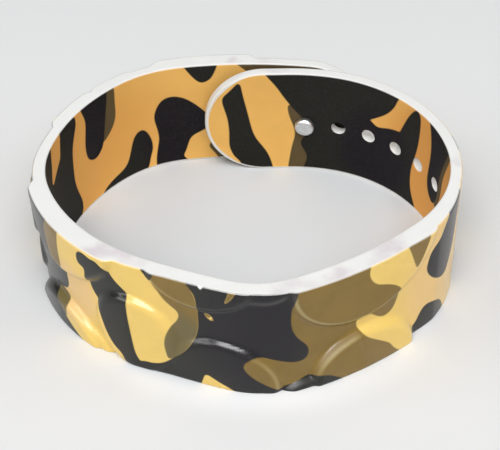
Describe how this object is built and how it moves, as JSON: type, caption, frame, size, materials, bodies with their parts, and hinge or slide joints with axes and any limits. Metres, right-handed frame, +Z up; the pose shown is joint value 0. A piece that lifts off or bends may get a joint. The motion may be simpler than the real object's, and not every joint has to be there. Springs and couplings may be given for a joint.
{
  "type": "silicone wristband",
  "caption": "Wide printed silicone wristband with smooth raised forms, closed into a loop by a metal press stud through a hole of its tongue.",
  "frame": {"origin": "middle of the bounding box of the closed loop, on the surface that its lower edge rests on", "axes": "+Z up, along the strap's width; +X to the right across the longest side of the loop; +Y to the back, where the overlap and the stud are"},
  "size_m": [0.0656, 0.0571, 0.02],
  "materials": {
    "strap": "white silicone with a camouflage print on both faces, glossy outside and satin inside",
    "stud": "polished metal"
  },
  "bodies": {
    "root": {"strap": "strap", "stud": "stud"}
  },
  "joints": []
}
